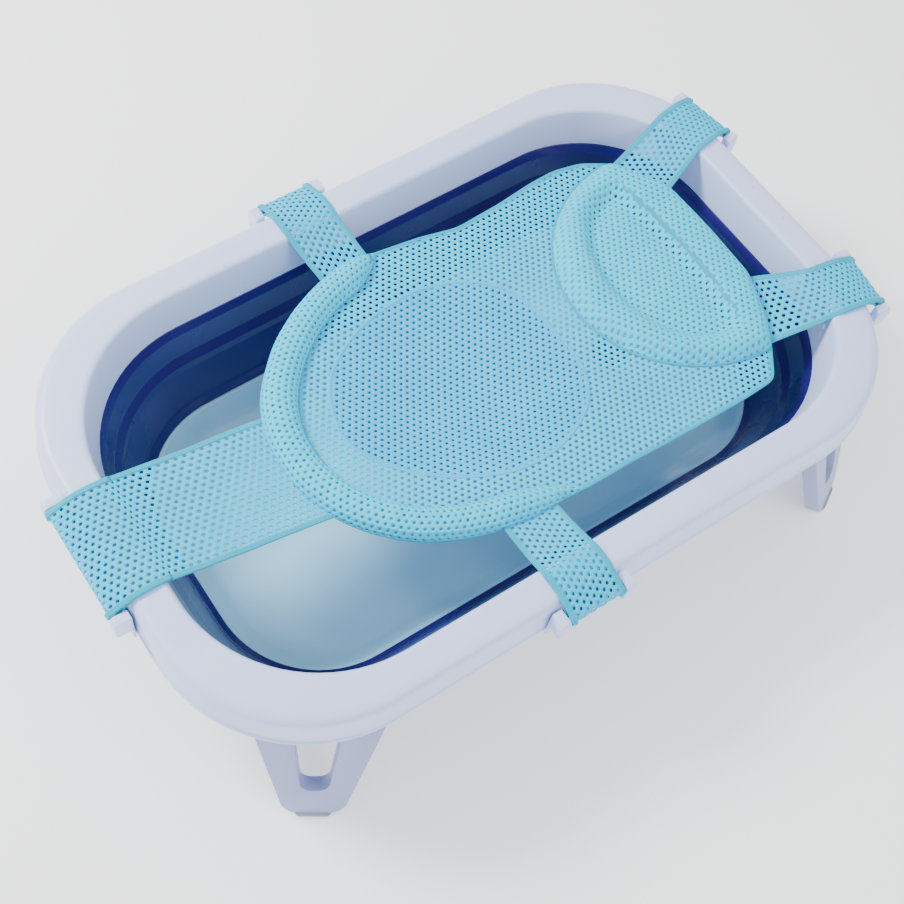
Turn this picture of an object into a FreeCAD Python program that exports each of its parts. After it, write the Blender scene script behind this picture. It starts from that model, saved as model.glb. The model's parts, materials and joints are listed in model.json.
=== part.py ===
"""Folding baby bathtub with a clip-on mesh bath sling.

A stiff rim frame carries a soft collapsible wall and a hard base tray. Four loop legs hinge in
blocks under the rim's corners and fold inward below the tray as it is pushed up. The sling hangs
from five straps, each looped round a hook that grips the rim's lower edge.

Millimetres, +Z up, +X towards the head end, +Y to the back. The origin is on the floor, under the
middle of the object's bounding box.
"""
import FreeCAD, Part
import math
import os

V = FreeCAD.Vector

# --- tub ---------------------------------------------------------------------------------------
LENGTH = 820.0            # rim, end to end
HALF_WIDTH = 256.0        # rim, at mid length
FLARE = 0.022             # the head end is wider: half width grows by this much per mm of X
CORNER_R = 155.0          # plan radius of the rim's corners
CORNER_SHRINK = 0.25      # how fast the plan radius falls as an outline moves inward, in the rim
CORNER_STEP = 50.0        # and from this inset on it falls faster
CORNER_SHRINK_LOW = 0.9
RIM_Z = 192.0             # top of the rim
SKIRT_Z = 146.0           # lower edge of the rim's skirt and of its inner wall
PLASTIC = 3.0             # wall of every moulded part
SKIRT_TOP_INSET = 3.0     # the skirt leans out by this much towards its lower edge
WALL_TOP_INSET = 38.0     # inner wall of the rim, at the top
WALL_LOW_INSET = 46.0     # and at its lower edge
RIM_OUTER_FILLET = 9.0
RIM_INNER_FILLET = 12.0
DOT_SPACING = 49.0        # two moulding dimples on the head-end rim
DOT_R = 3.0
DOT_DEPTH = 1.0
BAND_WALL = 2.5           # soft wall
TRAY_Z = 46.0             # top of the base tray, where the soft wall ends
TRAY_INSET = 80.0
FLOOR_Z = 27.0            # upper face of the tub's floor
FLOOR_INSET = 108.0
LEDGE = 7.0               # flat ledge round the floor, under the soft wall
RIB_Z = 12.0              # lower edge of the tray's stiffening ribs
RIB_INSET = 118.0
RIB_XS = (-165.0, -35.0, 95.0)
PAD_Z = 8.0               # lower face of the tray's rubber pads
PAD_R = 17.0
PAD_X = 225.0
PAD_Y = 92.0
# --- drain -------------------------------------------------------------------------------------
DRAIN_X = 215.0
DRAIN_R = 15.0
DRAIN_BOSS_R = 24.0
DRAIN_BOSS_Z = 21.0
PLUG_CLEARANCE = 0.08
PLUG_FLANGE_R = 20.0
PLUG_FLANGE = 2.5
# --- legs --------------------------------------------------------------------------------------
HINGE_Z = 137.0
HINGE_R = 128.0           # plan distance of a hinge from its corner's centre
HINGE_TURN = {-1: 62.0, 1: 70.0}   # foot and head: degrees from the tub's long axis to a hinge
LEG_TURN = {-1: 56.0, 1: 63.0}     # foot and head: degrees from the long axis to a leg's facing
LEG_SPLAY = 19.0          # degrees outward from upright
LEG_THICK = 16.0
LEG_HALF_TOP = 60.0
LEG_HALF_FOOT = 27.0
LEG_LOOP_TOP = 25.0       # half width of the loop's hole at the hinge
LEG_LOOP_FOOT = 13.0
LEG_LOOP_END = 104.0      # how far down the leg the hole goes
LEG_LENGTH = 144.0        # before it is cut level with its pad
LEG_FOOT_R = 24.0
LEG_LOOP_R = 12.0
LEG_RECESS = 11.0
BARREL_R = 8.0
BARREL_HALF = 56.0
BLOCK_HALF = 24.0
PIN_R = 3.0
PIN_CLEARANCE = 0.05
FOOT_PAD = 6.0
FOOT_PAD_HALF = 18.0
SCREW_R = 2.0
SCREW_HEAD_R = 3.8
SCREW_SPACING = 26.0
# --- sling -------------------------------------------------------------------------------------
CLOTH = 2.5
SLING_Z = RIM_Z - 26.0    # underside of the sling's flat part
SAG = 18.0                # how far the seat hangs below it
RING_X = -44.0            # hip ring centre
RING_R = 172.0
RING_WIDTH = 32.0
RING_OPEN = 68.0          # degrees each side of +X where the ring is open
PADDING = 18.0
GAP = 0.3                 # air between soft pieces and their neighbours
SEAT_X = -10.0
SEAT_RX = 126.0
SEAT_RY = 117.0
PILLOW_X = 262.0
PILLOW_RX = 120.0
PILLOW_RY = 128.0
HEAD_EDGE_X = 328.0
HEAD_EDGE_Y = 62.0
SHOULDER = (292.0, 133.0)
HIP_CORNER = (256.0, 164.0)
# --- straps and hooks --------------------------------------------------------------------------
SIDE_STRAP_X = -58.0
SIDE_STRAP = 60.0
FOOT_STRAP = 116.0
HEAD_STRAP = 62.0
HEAD_STRAP_TURN = 9.0     # degrees from +X
KNEE = 30.0               # a strap leaves the rim's top this far in from its edge
HEAD_KNEE = 43.0
FOOT_STRAP_Y = 9.0        # the foot strap lies a little towards the back
HEAD_RUN = 92.0
HOOK_WALL = 3.0
HOOK_CHEEK = 10.0
BAR_R = 3.0
BAR_OUT = 12.5
BAR_DROP = 11.0
HOOK_AXIS_DROP = 1.0
LIP = 5.0
LIP_GAP = 1.2

FLARE_SCALE = math.hypot(1.0, FLARE)
CORNERS = {"front_left": (-1, -1), "front_right": (1, -1),
           "back_left": (-1, 1), "back_right": (1, 1)}


# --- helpers -----------------------------------------------------------------------------------
def corner_radius(inset):
    low = max(inset - CORNER_STEP, 0.0)
    return CORNER_R - CORNER_SHRINK * (inset - low) - CORNER_SHRINK_LOW * low


def corner_centre(side_x, side_y, inset=0.0):
    """Centre of the plan arc at one corner of an outline that lies inset from the rim's edge."""
    reach = inset + corner_radius(inset)
    x = side_x * (LENGTH / 2 - reach)
    return x, side_y * (HALF_WIDTH + FLARE * x - reach * FLARE_SCALE)


def outline(inset, z):
    """Rounded, slightly flared rectangle, as a closed wire."""
    radius = corner_radius(inset)
    corners = []
    for side_x, side_y in ((1, 1), (-1, 1), (-1, -1), (1, -1)):
        x, y = corner_centre(side_x, side_y, inset)
        on_end = V(x + side_x * radius, y, z)
        lean = V(-FLARE, side_y, 0) / FLARE_SCALE
        on_side = V(x, y, z) + lean * radius
        middle = (on_end - V(x, y, z)) + (on_side - V(x, y, z))
        on_arc = V(x, y, z) + middle * (radius / middle.Length)
        first, last = (on_end, on_side) if side_x == side_y else (on_side, on_end)
        corners.append((first, on_arc, last))
    edges = []
    for index, (first, on_arc, last) in enumerate(corners):
        edges.append(Part.Arc(first, on_arc, last).toShape())
        edges.append(Part.makeLine(last, corners[(index + 1) % 4][0]))
    return Part.Wire(edges)


def loft(*levels):
    """Solid through outlines given as (inset, z)."""
    return Part.makeLoft([outline(inset, z) for inset, z in levels], True, True)


def level_edges(shape, z):
    return [e for e in shape.Edges if all(abs(v.Z - z) < 1e-4 for v in e.Vertexes)]


def inset_of(edge):
    """How far an edge's middle lies from the rim's end or side, whichever is nearer."""
    middle = edge.valueAt((edge.FirstParameter + edge.LastParameter) / 2)
    return min(LENGTH / 2 - abs(middle.x), HALF_WIDTH - abs(middle.y))


def polygon(points):
    return Part.makePolygon([V(*p) for p in points] + [V(*points[0])])


def prism(points, direction):
    return Part.Face(polygon(points)).extrude(direction)


def box(low, high):
    return Part.makeBox(high[0] - low[0], high[1] - low[1], high[2] - low[2], V(*low))


def rod(radius, start, end):
    way = V(*end) - V(*start)
    return Part.makeCylinder(radius, way.Length, V(*start), way)


def slab(wire_points, z, thick):
    """Flat plate from plan points."""
    return prism([(x, y, z) for x, y in wire_points], V(0, 0, thick))


def ellipse_points(x, rx, ry, start, end, count):
    points = []
    for i in range(count + 1):
        angle = math.radians(start + (end - start) * i / count)
        points.append((x + rx * math.cos(angle), ry * math.sin(angle)))
    return points


def vertical_plate(low, high, half_low, half_high, thick, corner):
    """Plate in the YZ plane, symmetric about Z, rounded at its lower corners."""
    plate = prism([(-thick / 2, -half_high, high), (-thick / 2, half_high, high),
                   (-thick / 2, half_low, low), (-thick / 2, -half_low, low)], V(thick, 0, 0))
    corners = [e for e in plate.Edges
               if all(abs(v.Z - low) < 1e-4 for v in e.Vertexes)
               and abs(e.Vertexes[0].Y - e.Vertexes[1].Y) < 1e-4]
    return plate.makeFillet(corner, corners)


# --- tub ---------------------------------------------------------------------------------------
def rim_frame():
    outer = loft((0.0, SKIRT_Z), (SKIRT_TOP_INSET, RIM_Z))
    mouth = loft((WALL_LOW_INSET + 0.2, SKIRT_Z - 1), (WALL_TOP_INSET - 0.2, RIM_Z + 1))
    ring = outer.cut(mouth)
    top = level_edges(ring, RIM_Z)
    middle = (SKIRT_TOP_INSET + WALL_TOP_INSET) / 2
    ring = ring.makeFillet(RIM_OUTER_FILLET, [e for e in top if inset_of(e) < middle])
    top = level_edges(ring, RIM_Z)
    ring = ring.makeFillet(RIM_INNER_FILLET, [e for e in top if inset_of(e) > middle])
    channel = loft((PLASTIC, SKIRT_Z - 1), (PLASTIC + 3, RIM_Z - 10), (PLASTIC + 9, RIM_Z - PLASTIC))
    island = loft((WALL_LOW_INSET - PLASTIC, SKIRT_Z - 2), (WALL_TOP_INSET - PLASTIC, RIM_Z - 12),
                  (WALL_TOP_INSET - 11, RIM_Z))
    ring = ring.cut(channel.cut(island))
    dot_x = LENGTH / 2 - 21.0
    for y in (-DOT_SPACING / 2, DOT_SPACING / 2):
        ring = ring.cut(rod(DOT_R, (dot_x, y, RIM_Z - DOT_DEPTH), (dot_x, y, RIM_Z + 1)))
    return ring


def soft_wall():
    fold_z = (SKIRT_Z + TRAY_Z) / 2
    fold = (WALL_LOW_INSET + TRAY_INSET) / 2 - 4
    outer = loft((WALL_LOW_INSET - PLASTIC, SKIRT_Z), (fold, fold_z), (TRAY_INSET, TRAY_Z))
    inner = loft((WALL_LOW_INSET - PLASTIC + BAND_WALL, SKIRT_Z), (fold + BAND_WALL, fold_z),
                 (TRAY_INSET + BAND_WALL, TRAY_Z))
    return outer.cut(inner)


def base_tray():
    low = FLOOR_Z - PLASTIC
    outer = loft((FLOOR_INSET - 3, low), (TRAY_INSET + 1, TRAY_Z - 4), (TRAY_INSET, TRAY_Z))
    basin = loft((FLOOR_INSET, FLOOR_Z), (TRAY_INSET + LEDGE, TRAY_Z + 0.01))
    tray = outer.cut(basin)
    ribs = loft((RIB_INSET, RIB_Z), (RIB_INSET, low)).cut(
        loft((RIB_INSET + PLASTIC, RIB_Z - 1), (RIB_INSET + PLASTIC, low)))
    half = HALF_WIDTH - RIB_INSET - 6
    for x in RIB_XS:
        ribs = ribs.fuse(box((x, -half, RIB_Z), (x + PLASTIC, half, low)))
    tray = tray.fuse(ribs)
    tray = tray.fuse(rod(DRAIN_BOSS_R, (DRAIN_X, 0, DRAIN_BOSS_Z), (DRAIN_X, 0, low)))
    tray = tray.cut(rod(DRAIN_R, (DRAIN_X, 0, DRAIN_BOSS_Z - 1), (DRAIN_X, 0, FLOOR_Z + 1)))
    return tray.removeSplitter()


def base_pads():
    pads = []
    for side_x, side_y in CORNERS.values():
        x, y = side_x * PAD_X, side_y * PAD_Y
        pads.append(rod(PAD_R, (x, y, PAD_Z), (x, y, FLOOR_Z - PLASTIC)))
    return Part.makeCompound(pads)


def drain_plug():
    stem = rod(DRAIN_R - PLUG_CLEARANCE, (DRAIN_X, 0, FLOOR_Z - 5), (DRAIN_X, 0, FLOOR_Z))
    flange = rod(PLUG_FLANGE_R, (DRAIN_X, 0, FLOOR_Z), (DRAIN_X, 0, FLOOR_Z + PLUG_FLANGE))
    grip = box((DRAIN_X - 9, -1.8, FLOOR_Z + PLUG_FLANGE), (DRAIN_X + 9, 1.8, FLOOR_Z + 8.5))
    return stem.fuse(flange).fuse(grip).removeSplitter()


# --- legs: made round a hinge axis along Y at the origin, outward is +X ---------------------------
def hinge_place(side_x, side_y):
    """Plan point of a corner's hinge, and the degrees from +X that its leg faces."""
    x, y = corner_centre(side_x, side_y)
    turn = math.radians(HINGE_TURN[side_x])
    x += side_x * HINGE_R * math.cos(turn)
    y += side_y * HINGE_R * math.sin(turn)
    leg_turn = math.radians(LEG_TURN[side_x])
    facing = math.atan2(side_y * math.sin(leg_turn), side_x * math.cos(leg_turn))
    return x, y, math.degrees(facing)


def at_corner(shape, side_x, side_y):
    """Turn a leg part to face its way and lift it to the hinge."""
    x, y, facing = hinge_place(side_x, side_y)
    placed = shape.copy()
    placed.rotate(V(0, 0, 0), V(0, 0, 1), facing)
    placed.translate(V(x, y, HINGE_Z))
    return placed


def leg():
    plate = vertical_plate(-LEG_LENGTH, 0, LEG_HALF_FOOT, LEG_HALF_TOP, LEG_THICK, LEG_FOOT_R)
    loop = vertical_plate(-LEG_LOOP_END, BARREL_R + 1, LEG_LOOP_FOOT, LEG_LOOP_TOP,
                          LEG_THICK + 2, LEG_LOOP_R)
    recess = vertical_plate(-LEG_LENGTH - 20, -BARREL_R - 4, LEG_HALF_FOOT - 9,
                            LEG_HALF_TOP - 8, LEG_RECESS, 4.0)
    boss = vertical_plate(-LEG_LOOP_END - 4, BARREL_R + 2, LEG_LOOP_FOOT + 4, LEG_LOOP_TOP + 4,
                          LEG_THICK + 2, LEG_LOOP_R)
    recess = recess.cut(boss)
    recess.translate(V(-LEG_THICK / 2 + LEG_RECESS / 2 - 0.01, 0, 0))
    barrel = rod(BARREL_R, (0, -BARREL_HALF, 0), (0, BARREL_HALF, 0))
    hinge_gap = box((-20, -BLOCK_HALF - 1, -BARREL_R - 3), (20, BLOCK_HALF + 1, BARREL_R + 3))
    bore = rod(PIN_R + PIN_CLEARANCE, (0, -90, 0), (0, 90, 0))
    body = plate.cut(recess).fuse(barrel).cut(loop).cut(hinge_gap).cut(bore)
    body.rotate(V(0, 0, 0), V(0, 1, 0), -LEG_SPLAY)
    floor_cut = box((-200, -200, -400), (200, 200, FOOT_PAD - HINGE_Z))
    return body.cut(floor_cut)


def foot_pad():
    reach = (HINGE_Z - FOOT_PAD / 2) * math.tan(math.radians(LEG_SPLAY))
    half = FOOT_PAD_HALF
    pad = box((reach - 10.0, -half, -HINGE_Z), (reach + 10.0, half, FOOT_PAD - HINGE_Z))
    upright = [e for e in pad.Edges if abs(e.Vertexes[0].Z - e.Vertexes[1].Z) > 1]
    return pad.makeFillet(6.0, upright)


def hinge_block():
    top = RIM_Z - PLASTIC - HINGE_Z
    block = box((-BARREL_R, -BLOCK_HALF, 0), (BARREL_R, BLOCK_HALF, top))
    block = block.fuse(rod(BARREL_R, (0, -BLOCK_HALF, 0), (0, BLOCK_HALF, 0))).removeSplitter()
    return block.cut(rod(PIN_R, (0, -90, 0), (0, 90, 0)))


def hinge_pin():
    return rod(PIN_R, (0, -BARREL_HALF, 0), (0, BARREL_HALF, 0))


def block_screw(y):
    """Countersunk screw up through the hinge block, sunk into a well at its lower end."""
    top = RIM_Z - PLASTIC - HINGE_Z
    shank = rod(SCREW_R, (0, y, 12.0), (0, y, top - 0.5))
    return shank.fuse(rod(SCREW_HEAD_R, (0, y, 9.0), (0, y, 12.0)))


# --- sling -------------------------------------------------------------------------------------
def sling_outline():
    """Plan points of the sling, anticlockwise from the head edge's back corner."""
    back = [(HEAD_EDGE_X, HEAD_EDGE_Y), SHOULDER, HIP_CORNER]
    reach = RING_R + 6.0
    hips = ellipse_points(RING_X, reach, reach, 80.0, 280.0, 28)
    front = [(x, -y) for x, y in reversed(back)]
    return back + hips + front


def seat_points():
    return ellipse_points(SEAT_X, SEAT_RX, SEAT_RY, 0.0, 360.0, 48)[:-1]


def sling_mesh():
    plate = slab(sling_outline(), SLING_Z, CLOTH)
    return plate.cut(slab(seat_points(), SLING_Z - 1, CLOTH + 2))


def sling_seat():
    """Dished oval panel that fills the sling's seat."""
    edge = polygon([(x, y, SLING_Z + CLOTH) for x, y in seat_points()])
    low = polygon([(SEAT_X + (x - SEAT_X) * 0.62, y * 0.62, SLING_Z - SAG) for x, y in seat_points()])
    bowl = Part.makeLoft([low, edge], True, True)
    hollow = bowl.copy()
    hollow.translate(V(0, 0, CLOTH))
    return bowl.cut(hollow)


def crescent(outer, inner, z):
    padding = slab(outer + inner[::-1], z, PADDING)
    top = [e for e in padding.Edges if all(abs(v.Z - z - PADDING) < 1e-4 for v in e.Vertexes)]
    return padding.makeChamfer(5.0, top)


def hip_ring():
    inner = RING_R - RING_WIDTH
    return crescent(ellipse_points(RING_X, RING_R, RING_R, RING_OPEN, 360 - RING_OPEN, 40),
                    ellipse_points(RING_X, inner, inner, RING_OPEN, 360 - RING_OPEN, 40),
                    SLING_Z + CLOTH + GAP)


def head_pillow():
    """Half-moon bolster, open towards the head edge."""
    inner_rx = PILLOW_RX - RING_WIDTH
    inner_ry = PILLOW_RY - RING_WIDTH
    return crescent(ellipse_points(PILLOW_X, PILLOW_RX, PILLOW_RY, 90, 270, 24),
                    ellipse_points(PILLOW_X, inner_rx, inner_ry, 90, 270, 24),
                    SLING_Z + CLOTH + GAP)


# --- straps and hooks: made with the rim's edge at X = 0 and the outside at +X --------------------
def strap_places():
    """name: (edge point, turn about Z in degrees, strap width, run from rim edge to sling, knee)."""
    head_x, head_y = corner_centre(1, 1)
    turn = math.radians(HEAD_STRAP_TURN)
    head_x = head_x + CORNER_R * math.cos(turn)
    head_y = head_y + CORNER_R * math.sin(turn)
    side_y = HALF_WIDTH + FLARE * SIDE_STRAP_X
    side_turn = 90.0 + math.degrees(math.atan(FLARE))
    side_run = side_y - (RING_R + 3.0)
    foot_run = LENGTH / 2 + RING_X - RING_R - 3.0
    return {"foot": ((-LENGTH / 2, FOOT_STRAP_Y), 180.0, FOOT_STRAP, foot_run, KNEE),
            "back": ((SIDE_STRAP_X, side_y), side_turn, SIDE_STRAP, side_run, KNEE),
            "front": ((SIDE_STRAP_X, -side_y), -side_turn, SIDE_STRAP, side_run, KNEE),
            "head_back": ((head_x, head_y), HEAD_STRAP_TURN, HEAD_STRAP, HEAD_RUN, HEAD_KNEE),
            "head_front": ((head_x, -head_y), -HEAD_STRAP_TURN, HEAD_STRAP, HEAD_RUN, HEAD_KNEE)}


def at_rim(shape, place):
    (x, y), turn = place[0], place[1]
    placed = shape.copy()
    placed.rotate(V(0, 0, 0), V(0, 0, 1), turn)
    placed.translate(V(x, y, 0))
    return placed


def strap(place):
    """Band of mesh from the sling, over the rim, to the rim's outer edge."""
    half, run, knee = place[2] / 2, place[3], place[4]
    start = SLING_Z + CLOTH + GAP
    under = [(-run, start), (-knee, RIM_Z + 1.0), (-11.0, RIM_Z + 0.5), (-0.6, RIM_Z - 3.2)]
    over = [(-0.6, RIM_Z - 0.8), (-10.4, RIM_Z + 2.7), (-knee, RIM_Z + 3.3), (-run, start + 2.3)]
    return prism([(x, -half, z) for x, z in under + over], V(0, 2 * half, 0))


def strap_loop(place):
    """The strap's end, sewn back on itself round the hook's bar."""
    half = place[2] / 2 - 1.0
    z = RIM_Z - BAR_DROP
    ring = rod(BAR_R + GAP + 2.2, (BAR_OUT, -half, z), (BAR_OUT, half, z))
    tail = prism([(x, -half, RIM_Z + dz) for x, dz in
                  ((1.0, -3.8), (1.0, -1.4), (14.2, -5.8), (10.0, -7.9))], V(0, 2 * half, 0))
    eye = rod(BAR_R + GAP, (BAR_OUT, -half - 1, z), (BAR_OUT, half + 1, z))
    return ring.fuse(tail).removeSplitter().cut(eye)


def hook(place):
    """Plastic hook: a bar between two cheeks, a back plate and a lip under the skirt."""
    half = place[2] / 2 + 2.0
    wide = half + HOOK_CHEEK
    bar_z = RIM_Z - BAR_DROP
    lip_top = SKIRT_Z - LIP_GAP
    plate = box((0.6, -wide, lip_top - HOOK_WALL), (0.6 + HOOK_WALL, wide, bar_z - 10.0))
    lip = box((-LIP, -wide + 4, lip_top - HOOK_WALL), (0.6 + HOOK_WALL, wide - 4, lip_top))
    body = plate.fuse(lip)
    for side in (-1, 1):
        y = side * (half + HOOK_CHEEK / 2)
        cheek = box((0.6, y - HOOK_CHEEK / 2, bar_z - 21.0),
                    (BAR_OUT + 5.0, y + HOOK_CHEEK / 2, bar_z + 5.0))
        outer = [e for e in cheek.Edges if all(v.X > BAR_OUT for v in e.Vertexes)
                 and abs(e.Vertexes[0].Y - e.Vertexes[1].Y) > 1]
        body = body.fuse(cheek.makeFillet(4.0, outer))
    body = body.fuse(rod(BAR_R, (BAR_OUT, -half - 1, bar_z), (BAR_OUT, half + 1, bar_z)))
    return body.removeSplitter()


# --- assembly ----------------------------------------------------------------------------------
def build():
    parts = {"rim_frame": rim_frame(), "soft_wall": soft_wall(), "base_tray": base_tray(),
             "base_pads": base_pads(), "drain_plug": drain_plug(),
             "sling_mesh": sling_mesh(), "sling_seat": sling_seat(),
             "hip_ring": hip_ring(), "head_pillow": head_pillow()}
    screws = [block_screw(side * SCREW_SPACING / 2) for side in (-1, 1)]
    block = hinge_block()
    for screw in screws:
        block = block.cut(screw)
        centre = screw.BoundBox.Center
        block = block.cut(rod(SCREW_HEAD_R, (0, centre.y, -BARREL_R - 1), (0, centre.y, 9.0)))
    all_screws = []
    for corner, (side_x, side_y) in CORNERS.items():
        parts["leg_" + corner] = at_corner(leg(), side_x, side_y)
        parts["foot_pad_" + corner] = at_corner(foot_pad(), side_x, side_y)
        parts["hinge_block_" + corner] = at_corner(block, side_x, side_y)
        parts["hinge_pin_" + corner] = at_corner(hinge_pin(), side_x, side_y)
        all_screws += [at_corner(screw, side_x, side_y) for screw in screws]
    parts["hinge_block_screws"] = Part.makeCompound(all_screws)
    for name, place in strap_places().items():
        parts["strap_" + name] = at_rim(strap(place), place)
        parts["strap_loop_" + name] = at_rim(strap_loop(place), place)
        parts["hook_" + name] = at_rim(hook(place), place)
    return parts


def centring(parts):
    """Move that puts the origin under the middle of the whole object."""
    centre = Part.makeCompound(list(parts.values())).BoundBox.Center
    return V(-centre.x, -centre.y, 0)


if __name__ == "__main__":
    os.makedirs("parts", exist_ok=True)
    PARTS = build()
    MOVE = centring(PARTS)
    print("centring", MOVE)
    for node, shape in PARTS.items():
        shape.translate(MOVE)
        bounds = shape.BoundBox
        print("%-26s %5d solids %s %10.0f mm3  z %.2f..%.2f" % (
            node, len(shape.Solids), shape.isValid(), shape.Volume, bounds.ZMin, bounds.ZMax))
        shape.exportStep("parts/" + node + ".step")
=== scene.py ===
"""Looks for the folding baby bathtub: moulded tub, collapsible wall, loop legs and mesh sling."""
import bpy
import bmesh
import json
import math
from contextlib import contextmanager
from mathutils import Matrix, Vector, noise


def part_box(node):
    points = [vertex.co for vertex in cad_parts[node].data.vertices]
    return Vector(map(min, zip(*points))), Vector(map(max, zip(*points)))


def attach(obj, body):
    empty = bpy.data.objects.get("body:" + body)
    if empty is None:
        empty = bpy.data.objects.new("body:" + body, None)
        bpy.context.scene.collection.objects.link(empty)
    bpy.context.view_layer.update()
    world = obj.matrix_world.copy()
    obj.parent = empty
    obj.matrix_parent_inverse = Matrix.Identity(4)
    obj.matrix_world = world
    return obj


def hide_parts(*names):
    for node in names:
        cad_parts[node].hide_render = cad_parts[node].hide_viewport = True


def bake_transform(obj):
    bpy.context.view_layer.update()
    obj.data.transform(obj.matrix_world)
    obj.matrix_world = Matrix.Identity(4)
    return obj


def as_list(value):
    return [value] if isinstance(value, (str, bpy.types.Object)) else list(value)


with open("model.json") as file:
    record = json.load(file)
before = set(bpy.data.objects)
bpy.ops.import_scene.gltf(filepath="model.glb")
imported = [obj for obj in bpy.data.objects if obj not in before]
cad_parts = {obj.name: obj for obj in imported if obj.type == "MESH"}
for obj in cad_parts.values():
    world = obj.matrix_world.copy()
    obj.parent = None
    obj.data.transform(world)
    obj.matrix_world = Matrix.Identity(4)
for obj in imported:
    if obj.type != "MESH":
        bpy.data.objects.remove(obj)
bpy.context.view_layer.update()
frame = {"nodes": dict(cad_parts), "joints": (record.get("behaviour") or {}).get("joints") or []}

# --- sizes, in metres ---------------------------------------------------------------------------
RIM_LOW, RIM_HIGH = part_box("rim_frame")
WALL_LOW, WALL_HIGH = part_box("soft_wall")
TRAY_LOW, TRAY_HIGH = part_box("base_tray")
SLING_LOW, SLING_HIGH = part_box("sling_mesh")
PLUG_LOW, PLUG_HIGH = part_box("drain_plug")
RIM_Z = RIM_HIGH.z
SKIRT_Z = RIM_LOW.z
HALF_LENGTH = (RIM_HIGH.x - RIM_LOW.x) / 2
MIDDLE_X = (RIM_HIGH.x + RIM_LOW.x) / 2
HALF_WIDTH = 0.256
FLARE = 0.022
CORNER_R = 0.155
CORNER_SHRINK = 0.25
CORNER_STEP = 0.050
CORNER_SHRINK_LOW = 0.9
TRAY_INSET = 0.080
FLOOR_INSET = 0.108
FLOOR_Z = 0.027
LEDGE = 0.007
SHEET_WALL = 0.003
DRAIN_R = 0.015
RING_X = MIDDLE_X - 0.044
# Degrees round RING_X and distance from it of the padded ring's outer edge.
HIP_OUTLINE = ((72, 0.176), (79, 0.1725), (90, 0.1712), (100, 0.1680), (112, 0.1662), (124, 0.1665),
               (142, 0.1705), (156, 0.1765), (170, 0.1793), (185, 0.1797), (199, 0.1770), (208, 0.1745),
               (218, 0.1715), (227, 0.1688), (236, 0.1655), (247, 0.1630), (258, 0.1620), (270, 0.1627),
               (280, 0.1655), (286, 0.1711), (293, 0.1800))
RING_HALF = 0.0158
RING_START = 79.0
RING_END = 288.0
RING_TAPER = (0.045, 0.090)
RING_SWELL = 0.14
RING_HEIGHT = 0.0165
RING_ACROSS = 0.0238
PILLOW_X = MIDDLE_X + 0.285
PILLOW_RX = 0.155
PILLOW_RY = 0.1405
RECESS_X = MIDDLE_X + 0.260
RECESS_RX = 0.090
RECESS_RY = 0.100
RECESS_BOW = 0.009
PILLOW_RISE = 0.0160
PILLOW_SLOPE = 0.015
PILLOW_BELLY = 0.0035
RECESS_RISE = 0.0016
SEAT_X = MIDDLE_X - 0.029
SEAT_Y = -0.005
SEAT_RX = 0.127
SEAT_RY = 0.114
SEAT_SAG = 0.0165
LINING_DROP = 0.0016
# Plan outlines from the middle of the tub; the net is pulled a little out of true.
SEAT_OUTLINE = ((-0.156, 0.008), (-0.147, -0.028), (-0.119, -0.063), (-0.082, -0.092), (-0.037, -0.113),
                (0.005, -0.1175), (0.046, -0.108), (0.079, -0.086), (0.097, -0.050), (0.098, -0.008),
                (0.096, 0.030), (0.084, 0.064), (0.053, 0.092), (0.010, 0.108), (-0.031, 0.109),
                (-0.075, 0.100), (-0.114, 0.080), (-0.141, 0.052))
HEAD_LINE = ((0.026, -0.1657), (0.070, -0.1665), (0.130, -0.1695), (0.212, -0.1720), (0.256, -0.1710),
             (0.282, -0.1370), (0.301, -0.1087), (0.3216, -0.0580), (0.3245, 0.0090), (0.3215, 0.0790),
             (0.302, 0.112), (0.285, 0.1375), (0.254, 0.156), (0.221, 0.163), (0.189, 0.1622),
             (0.140, 0.1560), (0.085, 0.1530), (0.040, 0.1630))
MESH_PITCH = 0.0076
MESH_ROW = 0.75
MESH_HOLE = 0.46
PAD_HOLE = 0.42
SEAT_HOLE = 0.40
CLOTH = 0.0013
WELD = 0.00001
BINDING = 0.0030
SEAM = 0.0018
PIPING = 0.0013
TAPE = 0.0014
BAR_OUT = 0.0125
BAR_DROP = 0.011
BAR_WRAP = 0.0047
KNEE = 0.034
HEAD_KNEE = 0.043
STRAP_WIDTH = {"foot": 0.116, "back": 0.060, "front": 0.060, "head_back": 0.062, "head_front": 0.062}


# --- node groups and materials ------------------------------------------------------------------
def socket_of(node, name):
    return next(s for s in node.inputs if s.name == name)


def new_group(name, kind, inputs, outputs):
    """Node group with its sockets: (label, type, default) go in, (label, type) come out."""
    group = bpy.data.node_groups.new(name, kind)
    for label, sort, value in inputs:
        socket = group.interface.new_socket(name=label, in_out="INPUT", socket_type="NodeSocket" + sort)
        if value is not None:
            socket.default_value = value
    for label, sort in outputs:
        group.interface.new_socket(name=label, in_out="OUTPUT", socket_type="NodeSocket" + sort)
    nodes = group.nodes
    return group, nodes, group.links, nodes.new("NodeGroupInput"), nodes.new("NodeGroupOutput")


def wire(links, *joins):
    """Link nodes: each join is (node, output, node, input)."""
    for source, output, target, label in joins:
        links.new(source.outputs[output], target.inputs[label])


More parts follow.
